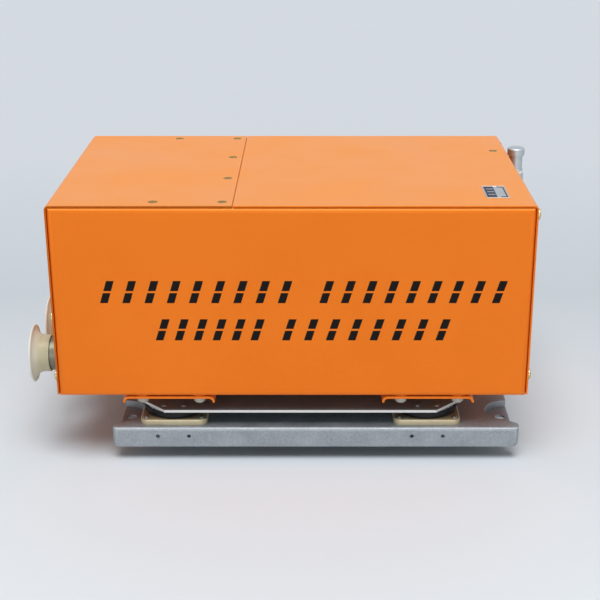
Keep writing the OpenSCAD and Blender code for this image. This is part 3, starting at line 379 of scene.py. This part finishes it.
def soft_cap():
    """Soft plastic of the dust caps, a little see-through and paler at the lip."""
    make = Recipe("soft_cap")
    flow = make.noise(14 * MM, 3)
    grain = make.bump(make.noise(1.2 * MM, 3), 0.06 * MM, 0.4)
    lip = make.span(make.along(make.place, "X"), cad_low.x + CAP_LIP_START, cad_low.x + CAP_LIP_FULL)
    colour = make.colours(flow, (0.43, 0.41, 0.25), (0.50, 0.475, 0.32), (0.55, 0.53, 0.39))
    colour = make.mix(lip, colour, (0.70, 0.75, 0.69))
    scuff = make.span(make.noise(3 * MM, 4), 0.58, 0.75, 0.0, 0.3)
    colour = make.mix(scuff, colour, (0.80, 0.78, 0.68))
    return make.finish(colour, make.rough(flow, 0.36, 0.5), grain, {
        "Subsurface Weight": 0.7,
        "Subsurface Scale": 5 * MM,
        "Subsurface Radius": (1.0, 0.95, 0.8),
    })


def board_laminate():
    """Green coated laminate with a fine weave."""
    make = Recipe("board_laminate")
    weave = make.bump(make.noise(0.8 * MM, 2), 0.03 * MM, 0.5)
    tint = make.noise(20 * MM, 3)
    colour = make.colours(tint, (0.02, 0.11, 0.05), (0.04, 0.17, 0.08))
    return make.finish(colour, make.rough(tint, 0.3, 0.42), weave)


def stencil_paint():
    """Dull black paint, sprayed thin."""
    make = Recipe("stencil_paint")
    spray = make.noise(1.6 * MM, 4)
    colour = make.colours(spray, (0.004, 0.003, 0.003), (0.011, 0.009, 0.008))
    grain = make.bump(spray, 0.04 * MM, 0.6)
    return make.finish(colour, make.rough(spray, 0.5, 0.68), grain, {"Specular IOR Level": 0.1})


def plain_print(name, dark, light):
    """Printed field of a data plate, a little worn."""
    make = Recipe(name)
    wear = make.noise(1.8 * MM, 4)
    colour = make.colours(wear, dark, light)
    grain = make.bump(wear, 0.02 * MM, 0.4)
    return make.finish(colour, make.rough(wear, 0.35, 0.47), grain, {"Specular IOR Level": 0.2})


SLOT_MATERIALS = {
    "orange_paint": orange_paint(),
    "passivated_screw": passivated("passivated", 0.95, (0.30, 0.27, 0.12), (0.56, 0.50, 0.24),
                                   (0.66, 0.61, 0.36), (0.48, 0.45, 0.30)),
    "bright_steel": turned_metal("bright_steel", (0.46, 0.47, 0.47), (0.66, 0.67, 0.68), 0.22),
    "nickel_shell": turned_metal("nickel_shell", (0.15, 0.15, 0.11), (0.26, 0.26, 0.20), 0.4),
    "plate_metal": turned_metal("plate_metal", (0.52, 0.53, 0.53), (0.70, 0.71, 0.71), 0.34),
    "grey_tray": grey_coat(),
    "cream_base": cream_coat(),
    "black_rubber": moulded("black_rubber", (0.005, 0.005, 0.006), (0.011, 0.011, 0.013), 0.38,
                            {"Specular IOR Level": 0.25}),
    "cap_plastic": soft_cap(),
    "seal_plastic": moulded("seal_plastic", (0.88, 0.88, 0.87), (0.92, 0.92, 0.92), 0.4),
    "insert_plastic": moulded("insert_plastic", (0.014, 0.014, 0.014), (0.03, 0.03, 0.03), 0.4),
    "contact_brass": turned_metal("contact_brass", (0.55, 0.40, 0.16), (0.72, 0.56, 0.27), 0.26),
    "board_laminate": board_laminate(),
    "insulation": moulded("insulation", (0.66, 0.64, 0.58), (0.78, 0.76, 0.71), 0.7),
    "cable_jacket": moulded("cable_jacket", (0.016, 0.016, 0.017), (0.035, 0.035, 0.036), 0.45),
}
DULL_STEEL = turned_metal("dull_steel", (0.46, 0.50, 0.51), (0.64, 0.68, 0.69), 0.42)

# Nodes whose finish differs from the one of their slot
NODE_MATERIALS = {
    # Left cover: paint with painted shade on its cut edges that face the front
    "left_cover": orange_paint("left_cover_paint_edge_shade", 0.75),
    "suspended_plate": milled_plate(),
    "cover_screws": passivated("aged_screw", 0.4, (0.26, 0.14, 0.02), (0.38, 0.22, 0.04), (0.46, 0.29, 0.07)),
    "union_elbow": DULL_STEEL,
    "union_cap": DULL_STEEL,
    "plate_rivets": turned_metal("plate_rivet", (0.20, 0.25, 0.28), (0.32, 0.38, 0.41), 0.45),
    "base_rivets": turned_metal("rivet_metal", (0.16, 0.15, 0.13), (0.30, 0.28, 0.25), 0.5),
    "rail_bolts": moulded("bolt_coat", (0.36, 0.36, 0.31), (0.48, 0.48, 0.43), 0.5, {"Metallic": 0.3}),
    "rail_washers": SLOT_MATERIALS["orange_paint"],
    # Spacers: near-black metal, painted shade, so they read as the shade under the rails
    "rail_spacers": turned_metal("spacer_metal_shade_dark", (0.08, 0.075, 0.07), (0.15, 0.14, 0.13), 0.5),
}


def refine(piece, width):
    """Joins a solid's facets, merges the flat ones and rounds its sharp edges a little."""
    weld = piece.modifiers.new("weld", "WELD")
    weld.merge_threshold = WELD_REACH
    flat = piece.modifiers.new("flat", "DECIMATE")
    flat.decimate_type = "DISSOLVE"
    flat.angle_limit = FLAT_ANGLE
    soft = piece.modifiers.new("soft", "BEVEL")
    soft.width = width
    soft.segments = 2
    soft.limit_method = "ANGLE"
    soft.angle_limit = SHARP_ANGLE
    soft.use_clamp_overlap = False
    piece.modifiers.new("normals", "WEIGHTED_NORMAL").keep_sharp = True
    for face in piece.data.polygons:
        face.use_smooth = True


def dress_nodes():
    """Gives every CAD node its finish, and softens the edges that catch the light."""
    for part in frame["record"]["subparts"]:
        node = part["node"]
        piece = nodes[node]
        piece.data.materials.clear()
        piece.data.materials.append(NODE_MATERIALS.get(node, SLOT_MATERIALS[part["material_slot"]]))
        if node in EDGE_ROUND:
            refine(piece, EDGE_ROUND[node])


def add_mesh(name, material, builder):
    """Makes a piece of the object from a function that fills a bmesh."""
    mesh = bpy.data.meshes.new(name)
    shape = bmesh.new()
    builder(shape)
    bmesh.ops.recalc_face_normals(shape, faces=shape.faces)
    shape.to_mesh(mesh)
    shape.free()
    mesh.materials.append(material)
    piece = bpy.data.objects.new(name, mesh)
    scene.collection.objects.link(piece)
    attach(piece, "root")


def prism(shape, outline, offset):
    """Closed solid from a flat outline, pushed out along offset."""
    lower = [shape.verts.new(point) for point in outline]
    upper = [shape.verts.new(Vector(point) + offset) for point in outline]
    shape.faces.new(lower)
    shape.faces.new(upper)
    for i in range(len(outline)):
        j = (i + 1) % len(outline)
        shape.faces.new((lower[i], lower[j], upper[j], upper[i]))


def stencil_marks():
    """Two rows of slanted slashes on the front panel, each cut by a stencil's bridge."""
    low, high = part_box("chassis")
    middle = (low.x + high.x) / 2
    out = Vector((0, -STENCIL_RAISE, 0))

    def slash(shape, left, bottom, height):
        half = (height - STENCIL_BRIDGE) / 2
        for start in (0, half + STENCIL_BRIDGE):
            lean = [STENCIL_LEAN * level / height for level in (start, start + half)]
            prism(shape, [
                (left + lean[0], low.y, bottom + start),
                (left + lean[0] + STENCIL_STROKE, low.y, bottom + start),
                (left + lean[1] + STENCIL_STROKE, low.y, bottom + start + half),
                (left + lean[1], low.y, bottom + start + half),
            ], out)

    def build(shape):
        for left, right, bottom, height, count in STENCIL_GROUPS:
            room = (right - left) * MM - STENCIL_STROKE - STENCIL_LEAN
            for n in range(count):
                slash(shape, middle + left * MM + room * n / (count - 1), low.z + bottom * MM, height * MM)

    add_mesh("stencil_marks", stencil_paint(), build)


def plate_fields():
    """Print of the data plate: a dark half with light bars, and a bare half with dark bands."""
    low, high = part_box("data_plate")
    field_z = high.z - PLATE_RECESS
    print_z = field_z + PLATE_PRINT
    split = low.x + PLATE_SPLIT * (high.x - low.x)
    left = low.x + PLATE_RIM
    right = high.x - PLATE_RIM
    front = low.y + PLATE_RIM
    rear = high.y - PLATE_RIM
    dark = plain_print("plate_dark", (0.010, 0.013, 0.035), (0.022, 0.026, 0.055))
    light = plain_print("plate_light", (0.24, 0.27, 0.32), (0.34, 0.37, 0.42))

    def slab(shape, x0, x1, y0, y1, base, height):
        outline = [(x0, y0, base), (x1, y0, base), (x1, y1, base), (x0, y1, base)]
        prism(shape, outline, Vector((0, 0, height)))

    def dark_parts(shape):
        slab(shape, left, split - PLATE_LINE, front, rear, field_z, PLATE_PRINT)
        slab(shape, right - PLATE_LINE, right, front, rear, field_z, PLATE_PRINT)
        for y in (front, rear - PLATE_BAND):
            slab(shape, split + 2 * PLATE_LINE, right - PLATE_LINE, y, y + PLATE_BAND, field_z, PLATE_PRINT)

    def light_parts(shape):
        start = left + PLATE_BAR_INSET
        middle_bar = (low.y + high.y - PLATE_BAR_WIDTH) / 2
        for n in (-1, 0, 1):
            y = middle_bar + n * PLATE_BAR_PITCH
            slab(shape, start, start + PLATE_BAR_LENGTH, y, y + PLATE_BAR_WIDTH, print_z, PLATE_BAR_PRINT)

    add_mesh("plate_dark_fields", dark, dark_parts)
    add_mesh("plate_light_bars", light, light_parts)


def floor():
    """Wide pale floor with painted light, lighter in front of the object than behind it."""
    mesh = bpy.data.meshes.new("floor")
    corners = [(-1, -1), (1, -1), (1, 1), (-1, 1)]
    mesh.from_pydata([(FLOOR_REACH * x, FLOOR_REACH * y, 0) for x, y in corners], [], [(0, 1, 2, 3)])
    piece = bpy.data.objects.new("floor", mesh)
    piece.location.z = cad_low.z - FLOOR_DROP
    scene.collection.objects.link(piece)
    make = Recipe("floor")
    tone = make.colours(make.span(make.along(make.place, "Y"), FLOOR_FRONT, FLOOR_REAR), *FLOOR_PAINTED_LIGHT_TONES)
    cloth = make.bump(make.noise(4 * MM, 3), 0.05 * MM, 0.2)
    rough = make.rough(make.noise(200 * MM, 2), 0.75, 0.85)
    mesh.materials.append(make.finish(tone, rough, cloth, {"Specular IOR Level": 0.1}))


def broad_light(name, source, strength, spread):
    """Very soft light from one direction, the same all over the floor."""
    data = bpy.data.lights.new(name, "SUN")
    data.energy = strength
    data.angle = math.radians(spread)
    lamp = bpy.data.objects.new(name, data)
    lamp.rotation_mode = "QUATERNION"
    lamp.rotation_quaternion = (-Vector(source)).to_track_quat("-Z", "Y")
    scene.collection.objects.link(lamp)


def studio():
    """Sky that is brighter behind the object, a plain pale surround to be seen, a key and a fill."""
    world = bpy.data.worlds.new("studio")
    scene.world = world
    world.use_nodes = True
    tree = world.node_tree
    link = tree.links.new
    sky = tree.nodes["Background"]
    sky.inputs["Color"].default_value = SKY_TINT
    way = tree.nodes.new("ShaderNodeSeparateXYZ")
    link(tree.nodes.new("ShaderNodeTexCoord").outputs["Generated"], way.inputs["Vector"])
    glow = tree.nodes.new("ShaderNodeMapRange")
    for name, value in SKY_GLOW.items():
        glow.inputs[name].default_value = value
    link(way.outputs["Y"], glow.inputs["Value"])
    link(glow.outputs["Result"], sky.inputs["Strength"])
    pale = tree.nodes.new("ShaderNodeBackground")
    pale.inputs["Color"].default_value = SURROUND
    rays = tree.nodes.new("ShaderNodeLightPath").outputs
    seen = rays["Is Camera Ray"]
    for kind in ("Is Glossy Ray", "Is Transmission Ray"):
        either = tree.nodes.new("ShaderNodeMath")
        either.operation = "MAXIMUM"
        link(seen, either.inputs[0])
        link(rays[kind], either.inputs[1])
        seen = either.outputs["Value"]
    choice = tree.nodes.new("ShaderNodeMixShader")
    link(seen, choice.inputs["Fac"])
    link(sky.outputs["Background"], choice.inputs[1])
    link(pale.outputs["Background"], choice.inputs[2])
    link(choice.outputs["Shader"], tree.nodes["World Output"].inputs["Surface"])
    broad_light("key", **KEY_LIGHT)
    broad_light("fill", **FILL_LIGHT)


def camera():
    data = bpy.data.cameras.new("camera")
    data.sensor_width = CAMERA_SENSOR
    data.lens = CAMERA_LENS
    data.shift_x = CAMERA_SHIFT
    eye = bpy.data.objects.new("camera", data)
    eye.location = CAMERA_PLACE
    eye.rotation_euler = (math.radians(90 - CAMERA_PITCH), 0, 0)
    scene.collection.objects.link(eye)
    scene.camera = eye


scene.view_settings.view_transform = "Standard"
camera()
dress_nodes()
stencil_marks()
plate_fields()
floor()
studio()
